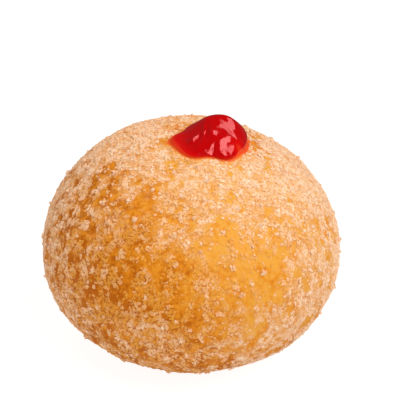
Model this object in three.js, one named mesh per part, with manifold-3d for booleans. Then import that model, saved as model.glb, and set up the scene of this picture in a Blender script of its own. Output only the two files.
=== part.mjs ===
// A jelly filled doughnut: a plump yeast doughnut rolled in granulated sugar, with red jelly standing out
// of the filling hole in its crown. Millimetres, +Z up. The origin is the centre of the flat spot under the
// doughnut, so the plane z = 0 is the surface that it rests on.
//
// Two solids:
//   dough  the fried crust, its filling hole, and the larger clumps of sugar that stick to it
//   jelly  the dollop on top, its bowl-shaped foot and the neck that fills the hole
//
// The same formulas give the crust and the jelly at any fineness; SEGMENTS and the ring counts below set it.

import * as THREE from "three";
import { mergeVertices } from "three/addons/utils/BufferGeometryUtils.js";
import Module from "manifold-3d";

const wasm = await Module();
wasm.setup();

// ---- Driving dimensions, mm ----

const WIDTH = 89.6; // along X, at the widest level
const DEPTH = 86.8; // along Y: the doughnut isn't quite round
const WIDEST_LEVEL = 27.9; // height of the widest level above the table
const CROWN_HEIGHT = 35.2; // from the widest level to the top
const BELLY_POWER = 2.5; // superellipse power under the widest level: 2 is an ellipse, more is fuller
const REST_SHARE = 0.97; // the share of the belly's full depth at which the table flattens it

const GOLDEN_ANGLE = Math.PI * (3 - Math.sqrt(5)); // steps of it spread directions evenly
const GOLDEN_SHARE = 0.381966; // the same step as a share of a turn

// Broad swellings and hollows of the hand-made shape. turn and tilt are the direction from the middle of
// the doughnut, in degrees: turn from +X towards +Y, tilt above the horizontal.
const SWELLS = [
  { name: "left shoulder", turn: 120, tilt: 45, rise: 0.7, spread: 28 },
  { name: "right shoulder", turn: 25, tilt: 30, rise: -0.35, spread: 30 },
  { name: "right haunch", turn: -48, tilt: -38, rise: 0.65, spread: 34 },
  { name: "left haunch", turn: -150, tilt: -32, rise: -0.35, spread: 30 },
  { name: "back flat", turn: 95, tilt: -5, rise: -0.3, spread: 28 },
];
const LEVEL_UNDERSIDE = 9; // below this height the unevenness fades out, so that the flat spot stays flat

// Low waves in the skin: wavelength, height and how many plane waves are added up.
const SKIN_WAVES = [
  { length: 31, height: 0.25, count: 7 },
  { length: 12, height: 0.12, count: 9 },
];

// The jelly. In plan it is a drop with its tip to the left, round a middle right of and behind the
// doughnut's axis. Seen from the side it is a plump cap whose rim overhangs where it meets the crust.
const JELLY = {
  x: 5.5,
  y: 5,
  radius: 9.7, // mean radius of its outline
  stretch: 0.075, // how much longer it is along X than across
  undercut: 0.35, // share of the cap's height, measured from its middle, that lies under its widest level
  footDepth: 2.2, // how deep its foot is bedded in the crust
  neckDepth: 10, // how deep the neck goes into the filling hole
};

// What makes the outline uneven: bulges and notches at a direction, in degrees.
const OUTLINE_LOBES = [
  { name: "tip", turn: 180, grow: 1.1, spread: 20 },
  { name: "front left belly", turn: 233, grow: 1.5, spread: 32 },
  { name: "front notch", turn: 267, grow: -0.7, spread: 20 },
  { name: "front right toe", turn: 300, grow: 1.4, spread: 20 },
  { name: "right side", turn: 33, grow: 1.6, spread: 25 },
  { name: "left hollow", turn: 154, grow: -1.3, spread: 17 },
];

// Thickness of the jelly: low at the tip, high at the right, with mounds on it.
const DOLLOP = { low: 1.6, high: 5.2, lowX: -4, highX: 8.2 };
const MOUNDS = [
  { name: "main mound", x: 11, y: 8.7, rise: 2.2, spread: 4.7 },
  { name: "middle mound", x: 5, y: 9, rise: 1.7, spread: 4.4 },
  { name: "right mound", x: 14.7, y: 7.6, rise: 1.2, spread: 3.9 },
  { name: "front mound", x: 11.2, y: 1.8, rise: 0.5, spread: 2.3 },
];

// Finer folds and creases of its skin: place in plan, rise, how far it spreads along and across its heading.
// Each fades out where the jelly is thinner than FOLDS_IN.
const FOLDS = [
  { name: "top shelf", x: 11.3, y: 7.4, rise: 0.5, along: 3.8, across: 1.4, heading: -40 },
  { name: "crease under the shelf", x: 11.7, y: 2.1, rise: -0.55, along: 2.2, across: 0.7, heading: -40 },
  { name: "front ridge", x: 11.7, y: 0.9, rise: 0.55, along: 3.5, across: 0.9, heading: 15 },
  { name: "front hollow", x: 9.5, y: -3.4, rise: -1.05, along: 3.8, across: 2.8, heading: 40 },
  { name: "foot lump", x: 5, y: -4.1, rise: 0.2, along: 1.9, across: 0.8, heading: -25 },
  { name: "front crease", x: 6.6, y: -2.6, rise: -0.55, along: 1.3, across: 0.7, heading: 60 },
  { name: "inner knob", x: 5.8, y: 2, rise: 0.75, along: 1.2, across: 2.2, heading: -5 },
  { name: "middle knob", x: 3.6, y: 3, rise: 0.6, along: 0.6, across: 3, heading: -5 },
  { name: "left knob", x: 0.8, y: 1.3, rise: 0.95, along: 2.2, across: 0.7, heading: 50 },
  { name: "left ridge", x: -0.6, y: 0.9, rise: 0.4, along: 2.7, across: 1, heading: -10 },
  { name: "right toe", x: 11.5, y: -3.8, rise: 0.5, along: 0.8, across: 0.7, heading: 25 },
  { name: "front left hollow", x: 3.9, y: -4.5, rise: -0.75, along: 4, across: 2, heading: 20 },
];
const FOLDS_IN = [0.2, 2.5]; // thickness at which the folds begin, and at which they are full

// The underside of the jelly from its rim to the foot of the neck: share of the outline, share of the depth
// of the foot and share of the depth of the neck.
const UNDERSIDE = [
  { out: 0.9, foot: 0.35, neck: 0 },
  { out: 0.82, foot: 0.75, neck: 0 },
  { out: 0.66, foot: 0.95, neck: 0 },
  { out: 0.48, foot: 1, neck: 0.02 },
  { out: 0.4, foot: 1, neck: 0.2 },
  { out: 0.37, foot: 1, neck: 0.6 },
  { out: 0.3, foot: 1, neck: 0.9 },
  { out: 0.16, foot: 1, neck: 1 },
];
const NECK_TIP = 1.04; // depth of the neck's rounded end, as a share of the neck's depth

const FIT_GAP = 0.3; // clear space between the jelly and the crust round it

// Clumps of sugar that are large enough to see from a step away: chipped blocks at all angles.
const CLUMPS = {
  places: 270, // on the whole sphere of directions, before those that would be in the way are left out
  scatter: 0.045, // how far a place is moved off the even spiral, as a share of the doughnut's radius
  scatterSteps: [12.99, 78.23, 37.72], // steps of the sines that move it
  smallest: 0.9,
  largest: 1.7, // longest sides
  sizeStep: 0.7548777, // step of the numbers that set the sizes
  rarity: 1.5, // their power: above 1 the largest clumps are the rarest
  breadth: 0.86,
  thickness: 0.68, // the other sides, as shares of the longest
  chip: 0.16, // how far the corners stand in and out, as a share of the middle's distance
  chipSteps: [5, 7, 9], // steps of the sine that chips them, along X, Y and Z
  axes: 29, // how many axes the clumps are turned about
  sunk: 0.28, // how far a clump's middle is sunk in the crust, as a share of its longest side
  clearOfJelly: 2.4,
  lowest: 4.5, // none is this near the table
};

const SEGMENTS = 64; // round the doughnut
const SECTION_RINGS = 28; // from its top to the rim of the flat spot
const JELLY_SEGMENTS = 56;
const JELLY_RINGS = 14; // over its cap
const HALVINGS = 24; // steps that home in on a clump's place on the section
const SAME_POINT = 1e-4; // corners nearer than this are one corner

// ---- Small helpers ----

const degrees = THREE.MathUtils.degToRad;

// Gaussian fall-off: 1 at the middle, 0.37 at one spread.
const bump = (distance, spread) => Math.exp(-((distance / spread) ** 2));

// The smaller angle between two directions in degrees.
function angleBetween(a, b) {
  return Math.abs(THREE.MathUtils.euclideanModulo(a - b + 180, 360) - 180);
}

// Direction number i of count, spread evenly over the sphere.
function evenDirection(i, count) {
  const z = 1 - (2 * (i + 0.5)) / count;
  const across = Math.sqrt(1 - z * z);
  return new THREE.Vector3(across * Math.cos(i * GOLDEN_ANGLE), across * Math.sin(i * GOLDEN_ANGLE), z);
}

// ---- The crust ----

const MIDDLE = new THREE.Vector3(0, 0, WIDEST_LEVEL);
const BELLY_DEPTH = WIDEST_LEVEL / REST_SHARE;

// Half of the doughnut's section across its width: an ellipse above the widest level, a superellipse below.
// t runs from 0 at the top to 1 at the rim of the flat spot.
class Section extends THREE.Curve {
  getPoint(t, target = new THREE.Vector2()) {
    const restAngle = Math.asin(REST_SHARE ** (BELLY_POWER / 2));
    const angle = -Math.PI / 2 + t * (Math.PI / 2 + restAngle); // below 0 on the crown
    const out = Math.cos(angle);
    const away = Math.abs(Math.sin(angle)); // from the widest level
    const power = angle <= 0 ? 1 : 2 / BELLY_POWER;
    const rise = angle <= 0 ? CROWN_HEIGHT : -BELLY_DEPTH;
    return target.set((WIDTH / 2) * out ** power, WIDEST_LEVEL + rise * away ** power);
  }
}

// Height of the crown over a point in plan, near enough to the top that it faces up.
function crownHeight(x, y) {
  const inside = 1 - ((2 * x) / WIDTH) ** 2 - ((2 * y) / DEPTH) ** 2;
  const regular = WIDEST_LEVEL + CROWN_HEIGHT * Math.sqrt(Math.max(inside, 0));
  return regular + unevenness(new THREE.Vector3(x, y, regular));
}

// The low waves at a point: each set adds up plane waves whose directions are spread over the sphere.
function skinWave(point) {
  let rise = 0;
  for (const { length, height, count } of SKIN_WAVES)
    for (let i = 0; i < count; i++) {
      const along = evenDirection(i, count).dot(point) / length;
      rise += (height / Math.sqrt(count)) * Math.sin(2 * Math.PI * (along + i * i * GOLDEN_SHARE));
    }
  return rise;
}

// How far the real crust stands outside the regular one at a point.
function unevenness(point) {
  const from = point.clone().sub(MIDDLE).normalize();
  let rise = skinWave(point);
  for (const { turn, tilt, rise: swell, spread } of SWELLS) {
    const towards = new THREE.Vector3(
      Math.cos(degrees(tilt)) * Math.cos(degrees(turn)),
      Math.cos(degrees(tilt)) * Math.sin(degrees(turn)),
      Math.sin(degrees(tilt)),
    );
    rise += swell * bump(THREE.MathUtils.radToDeg(from.angleTo(towards)), spread);
  }
  return rise * THREE.MathUtils.smoothstep(point.z, 0, LEVEL_UNDERSIDE);
}

// A point of the crust: the section's point turned by an angle, then moved out or in by the unevenness.
function crustPoint(sectionPoint, turn) {
  const regular = new THREE.Vector3(
    sectionPoint.x * Math.cos(turn),
    sectionPoint.x * (DEPTH / WIDTH) * Math.sin(turn),
    sectionPoint.y,
  );
  const out = regular.clone().sub(MIDDLE).normalize();
  return regular.clone().addScaledVector(out, unevenness(regular));
}

// A closed surface from a pole, rings of points and a second pole, facing out when the rings go down.
function closedSurface(top, rings, bottom) {
  const count = rings[0].length;
  const points = [top, ...rings.flat(), bottom];
  const at = (ring, i) => 1 + ring * count + (i % count);
  const faces = [];
  for (let i = 0; i < count; i++) {
    faces.push(0, at(0, i), at(0, i + 1));
    for (let ring = 0; ring + 1 < rings.length; ring++) {
      faces.push(at(ring, i), at(ring + 1, i), at(ring + 1, i + 1));
      faces.push(at(ring, i), at(ring + 1, i + 1), at(ring, i + 1));
    }
    faces.push(points.length - 1, at(rings.length - 1, i + 1), at(rings.length - 1, i));
  }
  const geometry = new THREE.BufferGeometry().setFromPoints(points);
  geometry.setIndex(faces);
  return geometry;
}

function crustGeometry() {
  const section = new Section().getSpacedPoints(SECTION_RINGS);
  const rings = section.slice(1).map((p) =>
    Array.from({ length: SEGMENTS }, (_, i) => crustPoint(p, (2 * Math.PI * i) / SEGMENTS)),
  );
  return closedSurface(crustPoint(section[0], 0), rings, new THREE.Vector3(0, 0, 0));
}

// ---- The jelly ----

// Radius of the jelly's outline in plan, in a direction from its middle.
function outlineRadius(turn) {
  const heading = THREE.MathUtils.radToDeg(turn);
  let radius = JELLY.radius * (1 + JELLY.stretch * Math.cos(2 * turn));
  for (const lobe of OUTLINE_LOBES) radius += lobe.grow * bump(angleBetween(heading, lobe.turn), lobe.spread);
  return radius;
}

// Thickness of the jelly over a point in plan, before its rim thins it.
function dollopHeight(x, y) {
  const share = THREE.MathUtils.smoothstep(x, DOLLOP.lowX, DOLLOP.highX);
  let height = THREE.MathUtils.lerp(DOLLOP.low, DOLLOP.high, share);
  for (const mound of MOUNDS) height += mound.rise * bump(Math.hypot(x - mound.x, y - mound.y), mound.spread);
  return height;
}

// Rise of the folds over a point in plan: each is a leaning oval mound or hollow.
function foldHeight(x, y) {
  let rise = 0;
  for (const fold of FOLDS) {
    const heading = degrees(fold.heading);
    const along = ((x - fold.x) * Math.cos(heading) + (y - fold.y) * Math.sin(heading)) / fold.along;
    const across = ((y - fold.y) * Math.cos(heading) - (x - fold.x) * Math.sin(heading)) / fold.across;
    rise += fold.rise * bump(Math.hypot(along, across), 1);
  }
  return rise;
}

// A point of the jelly at a share of the outline: over the crust by a share of the dollop's height, less a
// depth under it. gap grows the whole solid.
function jellyPoint(out, turn, over, depth, gap) {
  const reach = out * outlineRadius(turn) + (out > 0 ? gap : 0);
  const x = JELLY.x + reach * Math.cos(turn);
  const y = JELLY.y + reach * Math.sin(turn);
  const thickness = over * dollopHeight(x, y);
  const folds = foldHeight(x, y) * THREE.MathUtils.smoothstep(thickness, ...FOLDS_IN);
  const rise = depth > 0 ? -depth - gap : thickness + folds + gap;
  return new THREE.Vector3(x, y, crownHeight(x, y) + rise);
}

// The cap is a half circle's arc carried past its equator until it meets the crust, so its rim overhangs.
function jellyGeometry(gap) {
  const around = (out, over, depth) =>
    Array.from({ length: JELLY_SEGMENTS }, (_, i) =>
      jellyPoint(out, (2 * Math.PI * i) / JELLY_SEGMENTS, over, depth, gap),
    );
  const contact = Math.acos(-JELLY.undercut);
  const rings = [];
  for (let k = 1; k <= JELLY_RINGS; k++) {
    const angle = (contact * k) / JELLY_RINGS;
    const over = (Math.cos(angle) + JELLY.undercut) / (1 + JELLY.undercut);
    rings.push(around(Math.sin(angle), Math.max(over, 0), 0));
  }
  for (const { out, foot, neck } of UNDERSIDE)
    rings.push(around(out, 0, foot * JELLY.footDepth + neck * JELLY.neckDepth));
  const foot = JELLY.footDepth + JELLY.neckDepth * NECK_TIP;
  return closedSurface(jellyPoint(0, 0, 1, 0, gap), rings, jellyPoint(0, 0, 0, foot, gap));
}

// ---- Clumps of sugar ----

// Direction of clump number i from the middle of the doughnut: an even spiral, roughened by sines.
function clumpDirection(i) {
  const aside = new THREE.Vector3(...CLUMPS.scatterSteps.map((step) => Math.sin(i * step)));
  return evenDirection(i, CLUMPS.places).addScaledVector(aside, CLUMPS.scatter).normalize();
}

// Each clump is a chipped block of crystals, more than half sunk in the crust.
function clumpGeometries() {
  const section = new Section();
  const clumps = [];
  for (let i = 0; i < CLUMPS.places; i++) {
    const place = placeOnCrust(section, clumpDirection(i));
    const fromJelly = Math.hypot(place.x - JELLY.x, place.y - JELLY.y);
    const turn = Math.atan2(place.y - JELLY.y, place.x - JELLY.x);
    const nearJelly = place.z > WIDEST_LEVEL && fromJelly < outlineRadius(turn) + CLUMPS.clearOfJelly;
    if (nearJelly || place.z < CLUMPS.lowest) continue;
    clumps.push(clumpGeometry(i, place));
  }
  return clumps;
}

// Where the crust is in a direction from the middle: the section's point whose own direction has that tilt.
function placeOnCrust(section, towards) {
  const turn = Math.atan2(towards.y / DEPTH, towards.x / WIDTH);
  let low = 0;
  let high = 1;
  for (let step = 0; step < HALVINGS; step++) {
    const t = (low + high) / 2;
    const p = section.getPoint(t);
    const tilt = Math.atan2(p.y - WIDEST_LEVEL, p.x);
    if (tilt > Math.asin(towards.z)) low = t;
    else high = t;
  }
  return crustPoint(section.getPoint(low), turn);
}

function clumpGeometry(i, place) {
  const share = ((i * CLUMPS.sizeStep) % 1) ** CLUMPS.rarity;
  const size = THREE.MathUtils.lerp(CLUMPS.smallest, CLUMPS.largest, share);
  const geometry = new THREE.BoxGeometry(size, size * CLUMPS.breadth, size * CLUMPS.thickness);
  const corners = geometry.getAttribute("position");
  const corner = new THREE.Vector3();
  const chipSteps = new THREE.Vector3(...CLUMPS.chipSteps);
  for (let k = 0; k < corners.count; k++) {
    corner.fromBufferAttribute(corners, k);
    // The same corner of neighbouring faces gets the same chip, because the chip follows its position.
    corner.multiplyScalar(1 + CLUMPS.chip * Math.sin(corner.dot(chipSteps) + i));
    corners.setXYZ(k, corner.x, corner.y, corner.z);
  }
  const axis = evenDirection(i % CLUMPS.axes, CLUMPS.axes);
  geometry.applyQuaternion(new THREE.Quaternion().setFromAxisAngle(axis, i));
  const out = place.clone().sub(MIDDLE).normalize();
  const middle = place.clone().addScaledVector(out, -CLUMPS.sunk * size);
  return geometry.translate(middle.x, middle.y, middle.z);
}

// ---- Solids and meshes ----

// A closed three.js geometry as a manifold-3d solid.
function solidOf(geometry) {
  const bare = geometry.clone();
  bare.deleteAttribute("normal");
  bare.deleteAttribute("uv");
  const merged = mergeVertices(bare, SAME_POINT);
  return new wasm.Manifold(
    new wasm.Mesh({
      numProp: 3,
      vertProperties: new Float32Array(merged.getAttribute("position").array),
      triVerts: new Uint32Array(merged.getIndex().array),
    }),
  );
}

// A manifold-3d solid as a named three.js mesh with a flat-shaded material.
function meshOf(name, solid, material) {
  const made = solid.getMesh();
  const geometry = new THREE.BufferGeometry();
  geometry.setAttribute("position", new THREE.BufferAttribute(new Float32Array(made.vertProperties), 3));
  geometry.setIndex(new THREE.BufferAttribute(new Uint32Array(made.triVerts), 1));
  geometry.computeVertexNormals();
  const mesh = new THREE.Mesh(geometry, material);
  mesh.name = name;
  return mesh;
}

function dough() {
  const sugared = clumpGeometries().map(solidOf).reduce((all, clump) => all.add(clump), solidOf(crustGeometry()));
  const material = new THREE.MeshStandardMaterial({ color: 0xe2964a, roughness: 0.75, metalness: 0 });
  return meshOf("dough", sugared.subtract(solidOf(jellyGeometry(FIT_GAP))), material);
}

function jelly() {
  const material = new THREE.MeshStandardMaterial({ color: 0xc4000e, roughness: 0.12, metalness: 0 });
  return meshOf("jelly", solidOf(jellyGeometry(0)), material);
}

const doughnut = new THREE.Group();
doughnut.add(dough(), jelly());

export default doughnut;
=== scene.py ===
"""A jelly filled doughnut: a golden yeast doughnut rolled in granulated sugar, with red jelly on its crown.

The script is laid out as a Blender add-on, and is run as a script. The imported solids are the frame: the
crust, the jelly and the clumps of sugar are worked out again here from the same sizes, at a fineness that
shows the skin of the crust, and the loose grains of sugar are laid over them.
"""

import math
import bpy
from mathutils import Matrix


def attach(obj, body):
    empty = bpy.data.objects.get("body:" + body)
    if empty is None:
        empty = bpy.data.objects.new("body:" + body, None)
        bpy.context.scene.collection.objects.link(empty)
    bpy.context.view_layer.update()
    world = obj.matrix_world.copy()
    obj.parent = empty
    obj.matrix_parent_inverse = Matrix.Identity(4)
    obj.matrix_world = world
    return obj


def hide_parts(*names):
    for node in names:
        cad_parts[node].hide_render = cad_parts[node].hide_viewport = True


bl_info = {
    "name": "Jelly filled doughnut",
    "version": (1, 0, 0),
    "blender": (4, 5, 0),
    "location": "3D View > Sidebar > Doughnut",
    "description": "Dresses a jelly filled doughnut: crust, sugar, jelly, floor and light",
    "category": "Object",
}

import bpy
import numpy as np
from bpy.props import FloatProperty, FloatVectorProperty, IntProperty, PointerProperty
from mathutils import Vector

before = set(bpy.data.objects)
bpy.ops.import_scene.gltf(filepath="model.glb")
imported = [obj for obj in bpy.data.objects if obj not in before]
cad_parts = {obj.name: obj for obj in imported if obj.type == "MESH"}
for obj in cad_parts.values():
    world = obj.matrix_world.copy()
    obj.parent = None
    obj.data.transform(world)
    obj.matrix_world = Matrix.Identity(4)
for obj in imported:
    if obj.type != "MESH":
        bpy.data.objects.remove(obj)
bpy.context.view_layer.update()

MM = 0.001
BODY = "root"
PICTURE = 400  # pixels of the picture's side
TURN = 2 * np.pi
GOLDEN_ANGLE = np.pi * (3 - np.sqrt(5))
GOLDEN_SHARE = 0.381966  # sets the phases of the waves apart

# Lattice noise: how many values it draws, the strides that pick one of them for a corner, and a shift that
# keeps the numbers of the corners above 0.
LATTICE_VALUES = 4096
LATTICE_STRIDES = (73, 1259, 3571)
LATTICE_SHIFT = 1000

# ---- The form, as in the part's own source ----

# Broad swellings of the crust: turn and tilt of the direction from the middle, in degrees, the rise and
# how many degrees it spreads.
SWELLS = {
    "left shoulder": (120, 45, 0.7 * MM, 28),
    "right shoulder": (25, 30, -0.35 * MM, 30),
    "right haunch": (-48, -38, 0.65 * MM, 34),
    "left haunch": (-150, -32, -0.35 * MM, 30),
    "back flat": (95, -5, -0.3 * MM, 28),
}

# Low waves in the skin: wavelength, height and how many plane waves are added up.
SKIN_WAVES = ((31 * MM, 0.25 * MM, 7), (12 * MM, 0.12 * MM, 9))

# Bulges and notches of the jelly's outline: direction in degrees, growth and how many degrees it spreads.
OUTLINE_LOBES = {
    "tip": (180, 1.1 * MM, 20),
    "front left belly": (233, 1.5 * MM, 32),
    "front notch": (267, -0.7 * MM, 20),
    "front right toe": (300, 1.4 * MM, 20),
    "right side": (33, 1.6 * MM, 25),
    "left hollow": (154, -1.3 * MM, 17),
}

# Mounds on the jelly: place in plan, rise and spread.
MOUNDS = {
    "main mound": (11 * MM, 8.7 * MM, 2.2 * MM, 4.7 * MM),
    "middle mound": (5 * MM, 9 * MM, 1.7 * MM, 4.4 * MM),
    "right mound": (14.7 * MM, 7.6 * MM, 1.2 * MM, 3.9 * MM),
    "front mound": (11.2 * MM, 1.8 * MM, 0.5 * MM, 2.3 * MM),
}

# Folds and creases of the jelly's skin, finer than the mounds: place in plan, rise, spread along and
# across, and heading of the long way in degrees.
FOLDS = {
    "top shelf": (11.3 * MM, 7.4 * MM, 0.5 * MM, 3.8 * MM, 1.4 * MM, -40),
    "crease under the shelf": (11.7 * MM, 2.1 * MM, -0.55 * MM, 2.2 * MM, 0.7 * MM, -40),
    "front ridge": (11.7 * MM, 0.9 * MM, 0.55 * MM, 3.5 * MM, 0.9 * MM, 15),
    "front hollow": (9.5 * MM, -3.4 * MM, -1.05 * MM, 3.8 * MM, 2.8 * MM, 40),
    "foot lump": (5 * MM, -4.1 * MM, 0.2 * MM, 1.9 * MM, 0.8 * MM, -25),
    "front crease": (6.6 * MM, -2.6 * MM, -0.55 * MM, 1.3 * MM, 0.7 * MM, 60),
    "inner knob": (5.8 * MM, 2 * MM, 0.75 * MM, 1.2 * MM, 2.2 * MM, -5),
    "middle knob": (3.6 * MM, 3 * MM, 0.6 * MM, 0.6 * MM, 3 * MM, -5),
    "left knob": (0.8 * MM, 1.3 * MM, 0.95 * MM, 2.2 * MM, 0.7 * MM, 50),
    "left ridge": (-0.6 * MM, 0.9 * MM, 0.4 * MM, 2.7 * MM, 1 * MM, -10),
    "right toe": (11.5 * MM, -3.8 * MM, 0.5 * MM, 0.8 * MM, 0.7 * MM, 25),
    "front left hollow": (3.9 * MM, -4.5 * MM, -0.75 * MM, 4 * MM, 2 * MM, 20),
}

# Thicknesses of the jelly between which its folds fade in.
FOLDS_IN = (0.2 * MM, 2.5 * MM)

# The jelly's underside: share of the outline, share of the foot's depth and share of the neck's depth.
UNDERSIDE = (
    (0.9, 0.35, 0),
    (0.82, 0.75, 0),
    (0.66, 0.95, 0),
    (0.48, 1, 0.02),
    (0.4, 1, 0.2),
    (0.37, 1, 0.6),
    (0.3, 1, 0.9),
    (0.16, 1, 1),
)
RINGS_IN_A_ROW = 4  # rings of the mesh for each row of the underside

# The low collar of crust that rises to the jelly's rim: where it stands and how far it spreads, as shares
# of the outline's radius.
COLLAR_AT = 0.985
COLLAR_SPREAD = 0.05

# How far out the inset of the crust is back to the whole, as a share of the jelly's outline.
INSET_BACK_AT = 1.35

SECTION_STEPS = 6000  # steps along the section from which its even points are read
FINE_RINGS = 900  # rings of the section on which sugar is placed
STEP_ASIDE = 0.2 * MM  # from a place on the crust to its neighbours, for its slope

# Blisters of the crust: size, share of their height and seed.
BLISTERS = ((4.2 * MM, 1, 31), (1.9 * MM, 0.5, 32))
BLISTER_HEIGHT = 0.11 * MM

# ---- The finish of the crust and the jelly ----

# Mottles in the crust's colour: size and strength. The noise behind them lies nearly all in MOTTLE_SPAN.
MOTTLES = ((7 * MM, 0.2), (2.4 * MM, 0.26), (1.1 * MM, 0.24))
MOTTLE_SPAN = (0.3, 0.7)

# Browning of the crust: the usual, the one that turns gold to amber, and the size, strength and seed of its
# drifts.
USUAL_BROWNING = 0.45
AMBER_AT = 0.5
BROWNING_DRIFTS = (14 * MM, 0.1, 5)

# Skin of the crust: sizes of the sugar dust, the pores and the wrinkles, how much stronger the wrinkles are
# than the pores, and how deep both are.
DUST = 0.7 * MM
PORES = 0.8 * MM
WRINKLES = 2.6 * MM
WRINKLE_SHARE = 1.6
SKIN_DEPTH = 0.16 * MM

# Film of sugar on the crust: its usual strength, the cover between which it comes in, and from thin dust to
# thick dust, the noise behind it and its strength.
USUAL_FILM = 0.45
FILM_IN = (0.1, 1.3)
DUST_SPAN = (0.3, 0.65)
DUST_STRENGTH = (0.35, 1.1)

# Crust soaked by the jelly: shares of the jelly's outline between which it dries, its most syrup, the syrup
# between which the stain comes in, and its roughness when dry and when soaked.
WET_OUT = (0.98, 1.16)
MOST_SYRUP = 0.8
STAIN_IN = (0.5, 0.8)
DRY_TO_SOAKED = (0.5, 0.22)

# Where the jelly soaked the crust beside it: place in plan, spread and strength.
SOAKED = {
    "right of the jelly": (17 * MM, 5 * MM, 4 * MM, 0.5),
    "behind the tip": (-3.5 * MM, 15 * MM, 4 * MM, 0.65),
    "left of the tip": (-8 * MM, 4 * MM, 2.5 * MM, 0.5),
}

# Where light comes through the jelly near its rim: place in plan, spread and how thin it looks.
LIT_THROUGH = {
    "right toe": (14 * MM, -0.5 * MM, 2.6 * MM, 0.75),
}

# The jelly's thickness between which it looks thin and thick, how thin it looks where its edge colour comes
# in, and the size and depth of the lumps in its skin.
THIN_TO_THICK = (0.1 * MM, 2.2 * MM)
EDGE_IN = (0.6, 1)
LUMPS = 1.6 * MM
LUMP_DEPTH = 0.1 * MM

# ---- The sugar ----

# Where the crust was rubbed bare or the sugar lies thick: turn and tilt of the direction, size across and
# along the meridian, lean of the long way in degrees, and how much sugar there is more or less.
PATCHES = {
    "upper left streak": (-129, 51, 1.3 * MM, 4.6 * MM, 12, -0.7),
    "middle left streak": (-119, 33, 1.3 * MM, 3.8 * MM, 0, -2.2),
    "slanting streak": (-108, 29, 1.0 * MM, 6 * MM, 34, -1.8),
    "left cross streak": (-150, 34, 2.8 * MM, 1.1 * MM, 0, -2.0),
    "left cross streak, low": (-114, 28, 3 * MM, 1.2 * MM, 0, -1.0),
    "left patch": (-146, 28, 1.6 * MM, 1.5 * MM, 0, -1.0),
    "left thin streak": (-141, 22, 1.2 * MM, 3 * MM, 0, -1.3),
    "left rim streak": (-165, 25, 2.2 * MM, 5 * MM, 0, -1.1),
    "lower left hollow": (-122, 15, 5 * MM, 3.2 * MM, 0, -1.4),
    "lower left hollow, left end": (-129, 13, 2.2 * MM, 2.2 * MM, 0, -1.1),
    "lower left hollow, right end": (-115, 14, 2 * MM, 3.2 * MM, 20, -0.5),
    "low left streak": (-123, -2, 2.2 * MM, 5 * MM, 0, -1.2),
    "low middle patch": (-94, 16, 2 * MM, 4.2 * MM, -6, -1.5),
    "low middle foot": (-87, 8, 4.5 * MM, 1.6 * MM, 0, -0.6),
    "middle cross patch": (-87, 16, 5 * MM, 2.5 * MM, 0, -0.7),
    "right bare field": (-63, 29, 11 * MM, 7.5 * MM, 0, -1.0),
    "right bare field, low": (-62, 14, 6 * MM, 6 * MM, 0, -1.1),
    "right bare field, high": (-72, 42, 5 * MM, 3.5 * MM, 0, -0.8),
    "right upper field": (-45, 36, 5 * MM, 4 * MM, 0, -0.6),
    "right rim streak": (-24, 22, 2.2 * MM, 5 * MM, 0, -0.8),
    "bottom right patch": (-57, -17, 4.5 * MM, 4.5 * MM, 0, -1.1),
    "upper left patch": (-156, 46, 4.5 * MM, 4.5 * MM, 0, -1.1),
    "upper left spot": (-173, 52, 1.3 * MM, 1 * MM, 0, -0.9),
    "upper middle spot": (-145, 61, 1.4 * MM, 1.2 * MM, 0, -2.0),
    "upper middle patch": (-123, 46, 2.2 * MM, 2.2 * MM, 0, -1.0),
    "upper middle streak": (-124, 62, 1.0 * MM, 2.4 * MM, 30, -1.7),
    "in front of the tip": (-135, 73, 2.2 * MM, 5 * MM, 0, -1.1),
    "behind the tip": (103, 64, 4 * MM, 3.5 * MM, 0, -1.5),
    "right of the jelly": (18, 64, 8 * MM, 8 * MM, 0, -0.6),
    "under the jelly": (-66, 73, 6 * MM, 4 * MM, 0, 1.1),
    "under the jelly, front": (-84, 61, 4.5 * MM, 4.5 * MM, 0, 0.9),
    "crown, left": (165, 62, 9 * MM, 7 * MM, 0, 1.0),
    "crown, back left": (123, 49, 8 * MM, 8 * MM, 0, 1.2),
    "crown, back right": (21, 37, 4.5 * MM, 4.5 * MM, 0, 1.0),
    "upper right field": (-15, 46, 8 * MM, 8 * MM, 0, 0.8),
    "upper left flank": (-165, 40, 8 * MM, 8 * MM, 0, -0.25),
    "left rim field": (180, 0, 6 * MM, 14 * MM, 0, 0.5),
    "right rim field": (0, 4, 8 * MM, 16 * MM, 0, 0.8),
    "right shoulder field": (20, 26, 8 * MM, 8 * MM, 0, 0.6),
    "low left field": (-144, 1, 8 * MM, 8 * MM, 0, 0.9),
    "low middle field": (-105, 16, 5 * MM, 2.5 * MM, 0, 1.0),
    "middle field": (-87, 25, 5 * MM, 2.5 * MM, 0, 1.0),
    "low front field": (-96, 1, 4.5 * MM, 4.5 * MM, 0, 1.0),
    "low front streak": (-111, 1, 2.2 * MM, 5 * MM, 0, 1.2),
    "lower right field": (-51, -5, 4.5 * MM, 4.5 * MM, 0, 1.0),
    "lower lump": (-78, -2, 3.6 * MM, 1.3 * MM, 0, 2.5),
    "right lump": (-64, 18, 1.0 * MM, 1.3 * MM, 0, 2.0),
    "left lump": (-130, 31, 1.0 * MM, 1.5 * MM, 0, 2.0),
    "middle left lump": (-123, 40, 3 * MM, 1.2 * MM, 0, 1.4),
    "upper right lump": (-72, 43, 0.9 * MM, 1.2 * MM, 0, 1.5),
    "far right lump": (-38, 33, 1.5 * MM, 2 * MM, 0, 1.6),
}

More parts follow.
